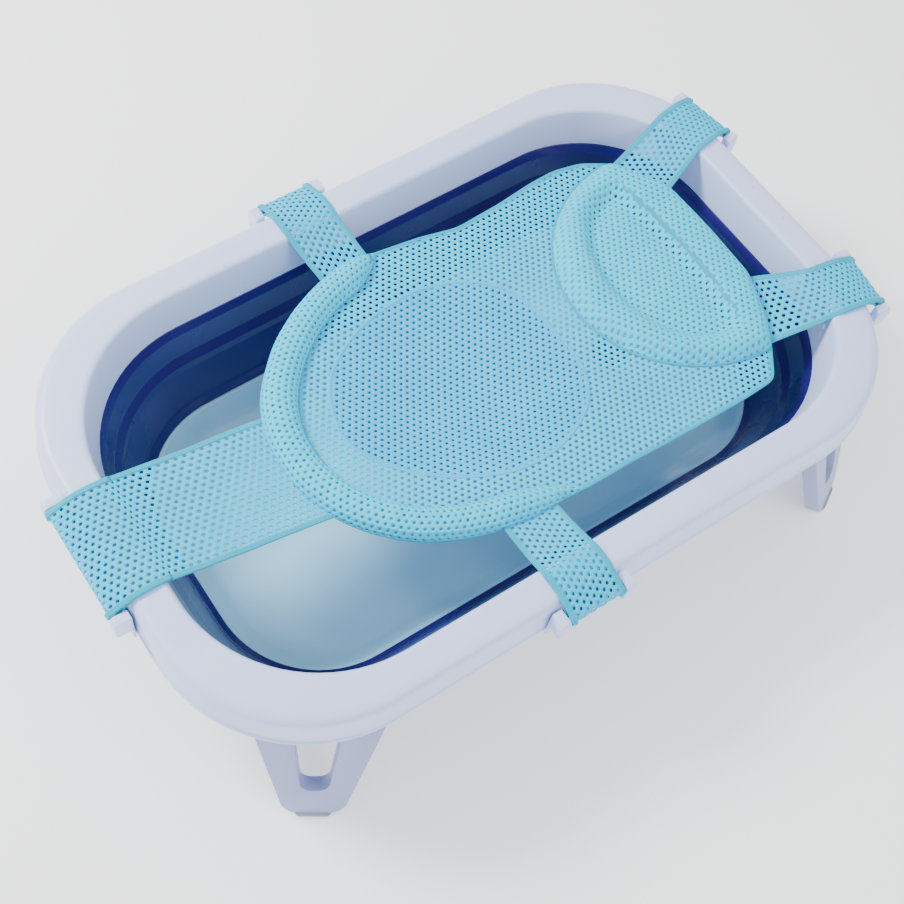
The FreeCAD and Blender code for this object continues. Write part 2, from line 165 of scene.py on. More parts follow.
def grain_group():
    """Fine moulded grain: a bumped normal and a mask of slow blotches."""
    group, nodes, links, given, out = new_group(
        "MouldedGrain", "ShaderNodeTree",
        (("Scale", "Float", 900.0), ("Bump", "Float", 0.1), ("Blotch Scale", "Float", 14.0)),
        (("Normal", "Vector"), ("Blotch", "Float")))
    place = nodes.new("ShaderNodeTexCoord")
    fine = nodes.new("ShaderNodeTexNoise")
    slow = nodes.new("ShaderNodeTexNoise")
    bump = nodes.new("ShaderNodeBump")
    bump.inputs["Distance"].default_value = 0.0003
    fine.inputs["Detail"].default_value = 3.0
    slow.inputs["Detail"].default_value = 4.0
    for texture, scale in ((fine, "Scale"), (slow, "Blotch Scale")):
        wire(links, (place, "Object", texture, "Vector"), (given, scale, texture, "Scale"))
    wire(links, (fine, "Fac", bump, "Height"), (given, "Bump", bump, "Strength"),
         (bump, "Normal", out, "Normal"), (slow, "Fac", out, "Blotch"))
    return group


def weave_group():
    """Two crossed threads as a height, with fuzz, and a mask for thread tops that paints shade between
    threads.
    """
    group, nodes, links, given, out = new_group(
        "ClothWeave", "ShaderNodeTree",
        (("Thread", "Float", 0.0009), ("Bump", "Float", 0.5), ("Fuzz Scale", "Float", 500.0)),
        (("Normal", "Vector"), ("Tops", "Float"), ("Patches", "Float")))

    def sum_of(operation, *terms):
        node = nodes.new("ShaderNodeMath")
        node.operation = operation
        for term, socket in zip(terms, node.inputs):
            if isinstance(term, float):
                socket.default_value = term
            else:
                links.new(term, socket)
        return node.outputs[0]

    place = nodes.new("ShaderNodeTexCoord")
    split = nodes.new("ShaderNodeSeparateXYZ")
    links.new(place.outputs["Object"], split.inputs[0])
    count = sum_of("DIVIDE", math.pi, given.outputs["Thread"])
    waves = [sum_of("SINE", sum_of("MULTIPLY", split.outputs[axis], count)) for axis in (0, 1)]
    fuzz = nodes.new("ShaderNodeTexNoise")
    fuzz.inputs["Detail"].default_value = 4.0
    wire(links, (place, "Object", fuzz, "Vector"), (given, "Fuzz Scale", fuzz, "Scale"))
    height = sum_of("ADD", sum_of("MULTIPLY", *waves), fuzz.outputs["Fac"])
    bump = nodes.new("ShaderNodeBump")
    bump.inputs["Distance"].default_value = 0.0004
    links.new(given.outputs["Bump"], bump.inputs["Strength"])
    links.new(height, bump.inputs["Height"])
    patches = nodes.new("ShaderNodeTexNoise")
    patches.inputs["Scale"].default_value = 22.0
    patches.inputs["Detail"].default_value = 5.0
    wire(links, (place, "Object", patches, "Vector"), (bump, "Normal", out, "Normal"),
         (patches, "Fac", out, "Patches"))
    links.new(height, out.inputs["Tops"])
    return group


GRAIN = grain_group()
WEAVE = weave_group()


def blank(name):
    material = bpy.data.materials.new(name)
    material.use_nodes = True
    nodes = material.node_tree.nodes
    shader = next(n for n in nodes if n.type == "BSDF_PRINCIPLED")
    return material, nodes, material.node_tree.links, shader


def ramp(nodes, links, source, low, high, start=0.35, end=0.65):
    """Colour that runs from low to high as source runs from start to end."""
    mix = nodes.new("ShaderNodeValToRGB")
    mix.color_ramp.elements[0].position = start
    mix.color_ramp.elements[1].position = end
    mix.color_ramp.elements[0].color = (*low, 1)
    mix.color_ramp.elements[1].color = (*high, 1)
    links.new(source, mix.inputs["Fac"])
    return mix.outputs["Color"]


def moulded(name, low, high, rough, grain_scale=900.0, bump=0.1, coat=0.0, blotch=14.0):
    """Injection-moulded or rubber finish: grain in the normal, slow blotches in colour and gloss."""
    material, nodes, links, shader = blank(name)
    grain = nodes.new("ShaderNodeGroup")
    grain.node_tree = GRAIN
    grain.inputs["Scale"].default_value = grain_scale
    grain.inputs["Bump"].default_value = bump
    grain.inputs["Blotch Scale"].default_value = blotch
    links.new(ramp(nodes, links, grain.outputs["Blotch"], low, high), shader.inputs["Base Color"])
    gloss = nodes.new("ShaderNodeMapRange")
    gloss.inputs["To Min"].default_value = rough * 0.85
    gloss.inputs["To Max"].default_value = rough * 1.2
    wire(links, (grain, "Blotch", gloss, "Value"), (gloss, "Result", shader, "Roughness"),
         (grain, "Normal", shader, "Normal"))
    shader.inputs["Coat Weight"].default_value = coat
    shader.inputs["Coat Roughness"].default_value = 0.08
    return material


def woven(name, low, high, thread=0.0009, bump=0.5, sheen=0.02, rough=0.66):
    """Knitted polyester: crossed threads in the normal, painted shade between threads, cloudy tint."""
    material, nodes, links, shader = blank(name)
    weave = nodes.new("ShaderNodeGroup")
    weave.node_tree = WEAVE
    weave.inputs["Thread"].default_value = thread
    weave.inputs["Bump"].default_value = bump
    tint = ramp(nodes, links, weave.outputs["Patches"], low, high, 0.3, 0.7)
    # Painted shade: the colour is multiplied darker where the thread-top mask is low, in the gaps between
    # threads.
    shade = nodes.new("ShaderNodeMix")
    shade.data_type = "RGBA"
    shade.blend_type = "MULTIPLY"
    shade.inputs["Factor"].default_value = 0.35
    links.new(tint, shade.inputs[6])
    links.new(ramp(nodes, links, weave.outputs["Tops"], (0.5, 0.74, 0.8), (1, 1, 1), 0.0, 0.9),
              shade.inputs[7])
    links.new(shade.outputs[2], shader.inputs["Base Color"])
    links.new(weave.outputs["Normal"], shader.inputs["Normal"])
    shader.inputs["Roughness"].default_value = rough
    shader.inputs["Sheen Weight"].default_value = sheen
    shader.inputs["Sheen Roughness"].default_value = 0.5
    shader.inputs["Specular IOR Level"].default_value = 0.14
    return material


def tray_finish():
    """Glossy pale plastic with fine moulded lines across the floor."""
    material = moulded("tray_gloss", (0.40, 0.79, 0.99), (0.45, 0.84, 1.0), 0.16, 700.0, 0.03, 0.5)
    nodes, links = material.node_tree.nodes, material.node_tree.links
    shader = next(n for n in nodes if n.type == "BSDF_PRINCIPLED")
    place = nodes.new("ShaderNodeTexCoord")
    lines = nodes.new("ShaderNodeTexWave")
    lines.wave_type = "BANDS"
    lines.bands_direction = "X"
    lines.inputs["Scale"].default_value = 70.0
    links.new(place.outputs["Object"], lines.inputs["Vector"])
    bump = nodes.new("ShaderNodeBump")
    bump.inputs["Strength"].default_value = 0.12
    bump.inputs["Distance"].default_value = 0.0004
    grain = next(n for n in nodes if n.type == "GROUP")
    wire(links, (lines, "Fac", bump, "Height"), (grain, "Normal", bump, "Normal"),
         (bump, "Normal", shader, "Normal"))
    return material


def steel_finish():
    """Bare steel for pins and screws, slightly streaked."""
    material, nodes, links, shader = blank("pin_steel")
    shader.inputs["Metallic"].default_value = 1.0
    streak = nodes.new("ShaderNodeTexNoise")
    streak.inputs["Scale"].default_value = 400.0
    place = nodes.new("ShaderNodeTexCoord")
    links.new(place.outputs["Object"], streak.inputs["Vector"])
    links.new(ramp(nodes, links, streak.outputs["Fac"], (0.5, 0.5, 0.52), (0.66, 0.66, 0.68)),
              shader.inputs["Base Color"])
    shader.inputs["Roughness"].default_value = 0.35
    return material


FINISH = {
    "rim": moulded("rim_white", (0.58, 0.67, 1.0), (0.61, 0.70, 1.0), 0.38, 1100.0, 0.12),
    # Painted shade: the legs and hinge blocks are the rim's white plastic, painted about half as bright for
    # the shade under the rim.
    "leg": moulded("leg_white_shaded", (0.33, 0.38, 0.64), (0.36, 0.41, 0.67), 0.42, 1100.0, 0.14),
    "hook": moulded("hook_white", (0.60, 0.68, 1.0), (0.63, 0.71, 1.0), 0.34, 1200.0, 0.10),
    "wall": moulded("wall_navy", (0.014, 0.008, 0.13), (0.019, 0.012, 0.16), 0.26, 500.0, 0.05, 0.25, 9.0),
    "tray": tray_finish(),
    "pad": moulded("pad_grey", (0.28, 0.30, 0.33), (0.34, 0.36, 0.39), 0.7, 800.0, 0.3),
    "plug": moulded("plug_navy", (0.02, 0.04, 0.22), (0.03, 0.05, 0.27), 0.4, 800.0, 0.15),
    "steel": steel_finish(),
    "mesh": woven("sling_mesh_cyan", (0.0, 0.62, 0.98), (0.001, 0.68, 1.0)),
    "strap": woven("strap_mesh_cyan", (0.0, 0.58, 0.90), (0.001, 0.64, 0.96)),
    "seat": woven("seat_mesh_pale", (0.015, 0.53, 0.93), (0.03, 0.58, 0.99)),
    "under": woven("seat_lining_pale", (0.03, 0.44, 0.68), (0.05, 0.49, 0.74), 0.0012, 0.4),
    "pad_cover": woven("padding_mesh_cyan", (0.0, 0.68, 0.98), (0.001, 0.74, 1.0)),
    "foam": woven("padding_foam_teal", (0.004, 0.34, 0.52), (0.008, 0.40, 0.58), 0.0015, 0.3),
    "binding": woven("edge_binding_cyan", (0.0, 0.50, 0.72), (0.002, 0.56, 0.78), 0.0007, 0.8),
    "thread": woven("stitch_thread_cyan", (0.02, 0.58, 0.78), (0.05, 0.64, 0.84), 0.0005, 0.3),
}


# --- meshes -------------------------------------------------------------------------------------
def make_piece(name, points, faces, finish):
    mesh = bpy.data.meshes.new(name)
    mesh.from_pydata([tuple(p) for p in points], [], faces)
    mesh.update()
    piece = bpy.data.objects.new(name, mesh)
    bpy.context.scene.collection.objects.link(piece)
    mesh.materials.append(FINISH[finish])
    mesh.shade_smooth()
    return piece


@contextmanager
def editing(mesh):
    """The mesh opened for editing and written back."""
    edit = bmesh.new()
    edit.from_mesh(mesh)
    yield edit
    edit.to_mesh(mesh)
    edit.free()


def outward(piece):
    """Make every face of a closed mesh point outward."""
    with editing(piece.data) as edit:
        bmesh.ops.recalc_face_normals(edit, faces=edit.faces)
    return piece


def join_rows(rows, columns, close_rows, close_columns):
    """Quads between neighbouring rows of points."""
    faces = []
    for r in range(rows if close_rows else rows - 1):
        for c in range(columns if close_columns else columns - 1):
            a, b = r * columns, ((r + 1) % rows) * columns
            d = (c + 1) % columns
            faces.append((a + c, a + d, b + d, b + c))
    return faces


def settle(piece):
    """Turn a piece's modifiers into plain mesh."""
    graph = bpy.context.evaluated_depsgraph_get()
    mesh = bpy.data.meshes.new_from_object(piece.evaluated_get(graph))
    piece.modifiers.clear()
    piece.data = mesh
    return piece


def thicken(piece, thickness, offset=0.0):
    solid = piece.modifiers.new("thickness", "SOLIDIFY")
    solid.thickness = thickness
    solid.offset = offset
    return settle(piece)


def outline(inset, arc_steps=20, line_steps=8):
    """Plan points of the tub's rounded, flared outline at an inset from the rim's edge."""
    low = max(inset - CORNER_STEP, 0.0)
    radius = CORNER_R - CORNER_SHRINK * (inset - low) - CORNER_SHRINK_LOW * low
    reach = inset + radius
    stretch = math.hypot(1.0, FLARE)
    lean = math.atan(FLARE)
    points = []
    for side_x, side_y in ((1, 1), (-1, 1), (-1, -1), (1, -1)):
        x = side_x * (HALF_LENGTH - reach)
        y = side_y * (HALF_WIDTH + FLARE * x - reach * stretch)
        on_side = math.pi / 2 + lean if side_y > 0 else -math.pi / 2 - lean
        on_end = 0.0 if side_x > 0 else math.pi * side_y
        first, last = (on_end, on_side) if side_x == side_y else (on_side, on_end)
        for i in range(arc_steps + 1):
            angle = first + (last - first) * i / arc_steps
            points.append((MIDDLE_X + x + radius * math.cos(angle), y + radius * math.sin(angle)))
    full = []
    corner = arc_steps + 1
    for i, point in enumerate(points):
        full.append(point)
        if (i + 1) % corner == 0:
            after = points[(i + 1) % len(points)]
            for k in range(1, line_steps):
                share = k / line_steps
                full.append((point[0] + (after[0] - point[0]) * share,
                             point[1] + (after[1] - point[1]) * share))
    return full


def rounded_profile(corners, steps=6):
    """Closed section with its corners (inset, z, radius) rounded by arcs."""
    points = []
    for i, (u, z, radius) in enumerate(corners):
        here = Vector((u, z))
        back = (Vector(corners[i - 1][:2]) - here).normalized()
        ahead = (Vector(corners[(i + 1) % len(corners)][:2]) - here).normalized()
        half = back.angle(ahead) / 2
        if radius == 0 or half > math.radians(89):
            points.append((u, z))
            continue
        cut = radius / math.tan(half)
        centre = here + (back + ahead).normalized() * (radius / math.sin(half))
        start, end = here + back * cut - centre, here + ahead * cut - centre
        turn = start.angle_signed(end)
        for k in range(steps + 1):
            spot = start.copy()
            spot.rotate(Matrix.Rotation(-turn * k / steps, 2))
            points.append(tuple(centre + spot))
    return points


def ring_piece(name, corners, finish, steps=6):
    """Closed section swept round the tub."""
    section = rounded_profile(corners, steps)
    loops = [outline(inset) for inset, _ in section]
    points = [(x, y, z) for loop, (_, z) in zip(loops, section) for x, y in loop]
    faces = join_rows(len(section), len(loops[0]), True, True)
    return outward(make_piece(name, points, faces, finish))


def softened(node, finish, width, body):
    """A CAD node's shape with its edges rounded."""
    piece = bpy.data.objects.new(node + "_shape", frame["nodes"][node].data.copy())
    bpy.context.scene.collection.objects.link(piece)
    with editing(piece.data) as edit:
        bmesh.ops.remove_doubles(edit, verts=edit.verts, dist=WELD)
        bmesh.ops.dissolve_limit(edit, angle_limit=math.radians(1.5), verts=edit.verts, edges=edit.edges)
    piece.data.materials.clear()
    piece.data.materials.append(FINISH[finish])
    piece.data.shade_smooth()
    bevel = piece.modifiers.new("edges", "BEVEL")
    bevel.width = width
    bevel.segments = 3
    bevel.limit_method = "ANGLE"
    bevel.angle_limit = math.radians(35)
    bevel.harden_normals = True
    settle(piece)
    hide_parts(node)
    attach(piece, body)
    return piece


def flat_tube(name, path, across, half_width, half_thick, finish, closed=False):
    """Rounded tape along a path; across holds the tape's width direction at each point."""
    count = len(path)
    shape = [(math.cos(a), math.sin(a)) for a in (math.tau * k / 10 for k in range(10))]
    points = []
    for i, (spot, side) in enumerate(zip(path, across)):
        ahead = path[(i + 1) % count] if closed or i < count - 1 else spot
        behind = path[i - 1] if closed or i else spot
        up = (ahead - behind).cross(side).normalized()
        for c, s in shape:
            wide = math.copysign(abs(c) ** 0.5, c) * half_width
            points.append(spot + side * wide + up * (math.copysign(abs(s) ** 0.6, s) * half_thick))
    faces = join_rows(count, len(shape), closed, True)
    if not closed:
        last = (count - 1) * len(shape)
        faces.append(tuple(range(len(shape))))
        faces.append(tuple(last + k for k in reversed(range(len(shape)))))
    return outward(make_piece(name, points, faces, finish))


# --- geometry nodes -----------------------------------------------------------------------------
def perforate_tree():
    """Triangle lattice in, hexagonal cells with a hole in each out."""
    tree, nodes, links, given, out = new_group(
        "Perforate", "GeometryNodeTree",
        (("Geometry", "Geometry", None), ("Hole Share", "Float", 0.42), ("Material", "Material", None)),
        (("Geometry", "Geometry"),))
    cells = nodes.new("GeometryNodeDualMesh")
    inset = nodes.new("GeometryNodeExtrudeMesh")
    inset.mode = "FACES"
    socket_of(inset, "Offset Scale").default_value = 0.0
    shrink = nodes.new("GeometryNodeScaleElements")
    cut = nodes.new("GeometryNodeDeleteGeometry")
    cut.domain = "FACE"
    paint = nodes.new("GeometryNodeSetMaterial")
    realize = nodes.new("GeometryNodeRealizeInstances")
    socket_of(cells, "Keep Boundaries").default_value = True
    wire(links, (given, "Geometry", cells, 0), (cells, 0, inset, "Mesh"),
         (inset, "Mesh", shrink, "Geometry"), (inset, "Top", shrink, "Selection"),
         (given, "Hole Share", shrink, "Scale"),
         (shrink, "Geometry", cut, "Geometry"), (inset, "Top", cut, "Selection"),
         (cut, "Geometry", realize, "Geometry"), (realize, "Geometry", paint, "Geometry"),
         (given, "Material", paint, "Material"), (paint, "Geometry", out, 0))
    return tree


def stitch_tree():
    """Edges in, a row of short thread stitches along them out."""
    tree, nodes, links, given, out = new_group(
        "StitchRow", "GeometryNodeTree",
        (("Geometry", "Geometry", None), ("Pitch", "Float", 0.0036), ("Length", "Float", 0.0026),
         ("Radius", "Float", 0.00042), ("Material", "Material", None)),
        (("Geometry", "Geometry"),))
    line = nodes.new("GeometryNodeMeshToCurve")
    spots = nodes.new("GeometryNodeCurveToPoints")
    spots.mode = "LENGTH"
    stitch = nodes.new("GeometryNodeMeshCylinder")
    stitch.inputs["Vertices"].default_value = 6
    rows = nodes.new("GeometryNodeInstanceOnPoints")
    realize = nodes.new("GeometryNodeRealizeInstances")
    paint = nodes.new("GeometryNodeSetMaterial")
    wire(links, (given, "Geometry", line, "Mesh"), (line, 0, spots, "Curve"),
         (given, "Pitch", spots, "Length"), (given, "Radius", stitch, "Radius"),
         (given, "Length", stitch, "Depth"),
         (spots, "Points", rows, "Points"), (spots, "Rotation", rows, "Rotation"),
         (stitch, "Mesh", rows, "Instance"), (rows, 0, realize, "Geometry"),
         (realize, "Geometry", paint, "Geometry"), (given, "Material", paint, "Material"),
         (paint, "Geometry", out, 0))
    return tree


PERFORATE = perforate_tree()
STITCH = stitch_tree()


def set_input(modifier, name, value):
    tree = modifier.node_group
    key = next(s.identifier for s in tree.interface.items_tree if s.name == name and s.in_out == "INPUT")
    modifier[key] = value


def grown(piece, tree, finish, **values):
    """Run a geometry tree on a piece and keep its plain mesh."""
    modifier = piece.modifiers.new(tree.name, "NODES")
    modifier.node_group = tree
    set_input(modifier, "Material", FINISH[finish])
    for name, value in values.items():
        set_input(modifier, name.replace("_", " "), value)
    settle(piece)
    if not piece.data.materials:
        piece.data.materials.append(FINISH[finish])
    return piece


def stitches(name, lines):
    """Stitch rows along lists of points."""
    points = [p for line in lines for p in line]
    edges = []
    start = 0
    for line in lines:
        edges += [(start + i, start + i + 1) for i in range(len(line) - 1)]
        start += len(line)
    mesh = bpy.data.meshes.new(name)
    mesh.from_pydata([tuple(p) for p in points], edges, [])
    piece = bpy.data.objects.new(name, mesh)
    bpy.context.scene.collection.objects.link(piece)
    return grown(piece, STITCH, "thread")


class Region:
    """Flat area bounded by closed loops of points; a loop within another is a hole."""

    def __init__(self, *loops):
        self.sides = [(loop[i - 1], loop[i]) for loop in loops for i in range(len(loop))]
        self.low = [min(p[k] for loop in loops for p in loop) for k in (0, 1)]
        self.high = [max(p[k] for loop in loops for p in loop) for k in (0, 1)]

    def contains(self, x, y):
        hit = False
        for (x0, y0), (x1, y1) in self.sides:
            if (y0 > y) != (y1 > y) and x < x0 + (y - y0) / (y1 - y0) * (x1 - x0):
                hit = not hit
        return hit

    def nearest(self, x, y):
        """Distance to the boundary and the point there."""
        best = (1e9, None)
        for (x0, y0), (x1, y1) in self.sides:
            dx, dy = x1 - x0, y1 - y0
            share = ((x - x0) * dx + (y - y0) * dy) / max(dx * dx + dy * dy, 1e-12)
            share = min(max(share, 0.0), 1.0)
            spot = (x0 + share * dx, y0 + share * dy)
            gap = (x - spot[0]) ** 2 + (y - spot[1]) ** 2
            if gap < best[0]:
                best = (gap, spot)
        return math.sqrt(best[0]), best[1]

    def snapped(self, x, y, reach):
        """The point itself well inside, the nearest boundary point close to it, else nothing."""
        gap, spot = self.nearest(x, y)
        if gap <= reach * 0.6:
            return spot
        if self.contains(x, y):
            return x, y
        return spot if gap <= reach else None


def perforated(name, region, place, finish, pitch=MESH_PITCH, hole=MESH_HOLE, thick=CLOTH):
    """Net cloth: a staggered lattice over a region, laid out in space by place(u, v)."""
    row = pitch * MESH_ROW
    low = (pitch * math.floor(region.low[0] / pitch) - pitch,
           row * 2 * math.floor(region.low[1] / row / 2) - row * 2)
    high = [v + pitch for v in region.high]
    columns = int((high[0] - low[0]) / pitch) + 2
    rows = int((high[1] - low[1]) / row) + 2
    index, points = {}, []
    for j in range(rows):
        for i in range(columns):
            u, v = low[0] + (i + 0.5 * (j % 2)) * pitch, low[1] + j * row
            spot = region.snapped(u, v, pitch * 0.62)
            if spot:
                index[i, j] = len(points)
                points.append(place(*spot))
    faces = []
    for i, j in index:
        shift = j % 2
        for trio in (((i, j), (i + 1, j), (i + shift, j + 1)),
                     ((i + shift, j + 1), (i + shift - 1, j + 1), (i, j))):
            if all(spot in index for spot in trio):
                faces.append(tuple(index[spot] for spot in trio))
    piece = make_piece(name, points, faces, finish)
    grown(piece, PERFORATE, finish, Hole_Share=hole)
    thicken(piece, thick)
    piece.data.shade_smooth()
    return piece


# --- tub ----------------------------------------------------------------------------------------
def make_rim():
    """White rim: rolled foot, skirt, flat top and the band that slopes in to the wall."""
    top, low = RIM_Z, SKIRT_Z
    rim = ring_piece("rim_shell", [
        (0.0000, low, 0.0008), (-0.0004, low + 0.0042, 0.0012), (0.0012, low + 0.0056, 0.0010),
        (0.0034, top - 0.0004, 0.0100), (0.0200, top, 0.0300), (0.0392, top - 0.0002, 0.0055),
        (0.0462, low + 0.0005, 0.0010), (0.0435, low + 0.0005, 0.0005), (0.0362, top - SHEET_WALL, 0.0050),
        (0.0070, top - SHEET_WALL, 0.0070), (0.0030, low, 0.0008)], "rim", 8)
    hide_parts("rim_frame")
    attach(rim, "frame")
    return rim


def make_soft_wall():
    """Navy rubber wall with two folds; it follows the rim above and the tray below."""
    top, low = WALL_HIGH.z, WALL_LOW.z
    fold = (top + low) / 2
    wall = ring_piece("soft_wall_skin", [
        (0.0458, top, 0.0010), (0.0500, top - 0.010, 0.0040), (0.0540, fold + 0.012, 0.0080),
        (0.0605, fold + 0.002, 0.0040), (0.0620, fold - 0.006, 0.0040), (0.0780, low + 0.008, 0.0060),
        (0.0850, low + 0.004, 0.0020), (0.0850, low + 0.0008, 0.0006), (0.0780, low + 0.0008, 0.0020),
        (0.0590, fold - 0.006, 0.0050), (0.0560, fold + 0.002, 0.0040), (0.0505, fold + 0.012, 0.0060),
        (0.0430, top, 0.0006)], "wall", 5)
    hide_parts("soft_wall")
    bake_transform(wall)
    return wall


def fill_between(edit, loops, z):
    """Flat face between an outer loop and inner loops."""
    edges = []
    for loop in loops:
        corners = [edit.verts.new((x, y, z)) for x, y in loop]
        edges += [edit.edges.new((corners[i - 1], corners[i])) for i in range(len(corners))]
    bmesh.ops.triangle_fill(edit, use_beauty=True, edges=edges)


def make_tray():
    """Floor tray with a ledge for the wall and a hole for the drain."""
    low = FLOOR_Z - SHEET_WALL
    edge = FLOOR_INSET + 0.006
    top, shelf = TRAY_HIGH.z, TRAY_INSET + LEDGE
    section = [(edge, FLOOR_Z), (FLOOR_INSET - 0.001, FLOOR_Z + 0.0008),
               (FLOOR_INSET - 0.0055, FLOOR_Z + 0.004), (shelf + 0.005, top - 0.005),
               (shelf + 0.002, top - 0.001), (shelf - 0.001, top),
               (TRAY_INSET, top), (TRAY_INSET + 0.001, top - 0.004), (TRAY_INSET + 0.012, low + 0.010),
               (FLOOR_INSET - 0.006, low + 0.001), (edge, low)]
    loops = [outline(inset) for inset, _ in section]
    points = [(x, y, z) for loop, (_, z) in zip(loops, section) for x, y in loop]
    tray = make_piece("tray_shell", points, join_rows(len(section), len(loops[0]), False, True), "tray")
    drain = Vector(((PLUG_LOW.x + PLUG_HIGH.x) / 2, 0))
    circle = [(drain.x + DRAIN_R * math.cos(a), DRAIN_R * math.sin(a))
              for a in (math.tau * k / 40 for k in range(40))]
    with editing(tray.data) as edit:
        for z in (FLOOR_Z, low):
            fill_between(edit, [outline(edge), circle], z)
        tube = [[edit.verts.new((x, y, z)) for x, y in circle] for z in (FLOOR_Z, low)]
        for i in range(len(circle)):
            edit.faces.new((tube[0][i - 1], tube[0][i], tube[1][i], tube[1][i - 1]))
        bmesh.ops.remove_doubles(edit, verts=edit.verts, dist=WELD)
        bmesh.ops.recalc_face_normals(edit, faces=edit.faces)
    tray.data.shade_smooth()
    tray.data.set_sharp_from_angle(angle=math.radians(40))
    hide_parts("base_tray")
    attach(tray, "base")
    return tray


def make_tray_ribs():
    """Stiffening ring and cross ribs under the tray."""
    inset, low, high, wall = 0.118, TRAY_LOW.z, FLOOR_Z - SHEET_WALL, SHEET_WALL
    ring_piece("tray_rib_ring", [(inset, low, 0.0006), (inset, high + 0.0005, 0),
                                 (inset + wall, high + 0.0005, 0), (inset + wall, low, 0.0006)], "tray", 3)
    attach(bpy.data.objects["tray_rib_ring"], "base")
    points, faces = [], []
    half = HALF_WIDTH - inset - 0.003
    for x in (-0.165, -0.035, 0.095):
        first = len(points)
        for dx in (0.0, wall):
            for y, z in ((-half, low), (half, low), (half, high + 0.0005), (-half, high + 0.0005)):
                points.append((MIDDLE_X + x + dx, y, z))
        box = [(0, 1, 2, 3), (4, 5, 6, 7)] + [(k, (k + 1) % 4, 4 + (k + 1) % 4, 4 + k) for k in range(4)]
        faces += [tuple(first + i for i in face) for face in box]
    ribs = outward(make_piece("tray_cross_ribs", points, faces, "tray"))
    ribs.data.set_sharp_from_angle(angle=math.radians(30))
    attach(ribs, "base")


def make_rim_dots():
    """Two small moulding marks on the head-end rim."""
    points, faces = [], []
    for y in (-0.0245, 0.0245):
        first = len(points)
        for radius, rise in ((0.0030, -0.0005), (0.0029, 0.0003), (0.0022, 0.0007), (0.0012, 0.0005)):
            for k in range(20):
                angle = math.tau * k / 20
                points.append((RIM_HIGH.x - 0.021 + radius * math.cos(angle),
                               y + radius * math.sin(angle), RIM_Z + rise))
        faces += [tuple(first + i for i in face) for face in join_rows(4, 20, False, True)]
        faces.append(tuple(first + 60 + k for k in range(20)))
        faces.append(tuple(first + k for k in reversed(range(20))))
    dots = outward(make_piece("rim_dots", points, faces, "hook"))
    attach(dots, "frame")


def make_hard_parts():
    """Legs, pads, hinge parts, plug and hooks: the CAD shapes with softened edges."""
    for corner in ("front_left", "front_right", "back_left", "back_right"):
        softened("leg_" + corner, "leg", 0.0018, "leg_" + corner)
        softened("foot_pad_" + corner, "pad", 0.0010, "leg_" + corner)
        softened("hinge_block_" + corner, "leg", 0.0008, "frame")
        frame["nodes"]["hinge_pin_" + corner].data.materials[0] = FINISH["steel"]
    frame["nodes"]["hinge_block_screws"].data.materials[0] = FINISH["steel"]
    softened("base_pads", "pad", 0.0015, "base")
    softened("drain_plug", "plug", 0.0007, "plug")
    for name in STRAP_WIDTH:
        softened("hook_" + name, "hook", 0.0011, "hook_" + name)


# --- sling --------------------------------------------------------------------------------------
def smooth(share):
    """Share from 0 to 1, eased at both ends."""
    share = min(max(share, 0.0), 1.0)
    return share * share * (3 - 2 * share)


def sling_height(x, y):
    """Height of the sling's cloth over the plan."""
    z = SLING_HIGH.z
    seat = math.hypot((x - SEAT_X) / (SEAT_RX * 1.15), (y - SEAT_Y) / (SEAT_RY * 1.15))
    if seat < 1:
        z -= SEAT_SAG * (1 - seat * seat) ** 1.5
    z += 0.004 * smooth((x - 0.10) / 0.2)
    z += 0.0011 * noise.noise(Vector((x * 14, y * 14, 0.3)))
    pulled = smooth((x - 0.06) / 0.06) * smooth((0.20 - x) / 0.05)
    z += 0.0016 * pulled * noise.noise(Vector((x * 8, y * 34, 1.7)))
    return z


def hip_point(degrees):
    """Plan point on the padded ring's outer edge."""
    for (low, before), (high, after) in zip(HIP_OUTLINE, HIP_OUTLINE[1:]):
        if degrees <= high:
            break
    reach = before + (after - before) * min(max((degrees - low) / (high - low), 0.0), 1.0)
    a = math.radians(degrees)
    return RING_X + reach * math.cos(a), reach * math.sin(a)


def sling_edge(step=0.006):
    """Plan points round the sling, evenly spaced, anticlockwise."""
    corners = [hip_point(79 + 209 * k / 60) for k in range(61)]
    corners += [(MIDDLE_X + x, y) for x, y in HEAD_LINE]
    points = []
    for i, start in enumerate(corners):
        end = corners[(i + 1) % len(corners)]
        gap = math.dist(start, end)
        count = max(1, round(gap / step))
        points += [(start[0] + (end[0] - start[0]) * k / count,
                    start[1] + (end[1] - start[1]) * k / count) for k in range(count)]
    for _ in range(2):
        points = [((points[i - 1][0] + p[0] * 2 + points[(i + 1) % len(points)][0]) / 4,
                   (points[i - 1][1] + p[1] * 2 + points[(i + 1) % len(points)][1]) / 4)
                  for i, p in enumerate(points)]
    return points


def on_sling(x, y, lift=0.0):
    """Point over the plan, lifted off the sling's cloth."""
    return Vector((x, y, sling_height(x, y) + lift))


def towards(x, spot):
    """Horizontal direction from a point to the middle line at x."""
    return Vector((x - spot.x, -spot.y, 0)).normalized()


def loop_across(path):
    """Horizontal inward directions round a closed, anticlockwise path."""
    across = []
    for i in range(len(path)):
        along = path[(i + 1) % len(path)] - path[i - 1]
        across.append(Vector((-along.y, along.x, 0)).normalized())
    return across


def seat_loop(grow=0.0, count=90):
    """Plan points round the seat, anticlockwise; its edge wavers, as sewn net does."""
    knots = [Vector((MIDDLE_X + x, y)) for x, y in SEAT_OUTLINE]
    knots = knots[-2:] + knots + knots[:2]
    curve = catmull(knots, count // len(SEAT_OUTLINE))
    spare = count // len(SEAT_OUTLINE) * 2
    loop = []
    for spot in curve[spare:spare + count]:
        arm = spot - Vector((SEAT_X, SEAT_Y))
        spot = spot + arm.normalized() * grow
        loop.append((spot.x, spot.y))
    return loop


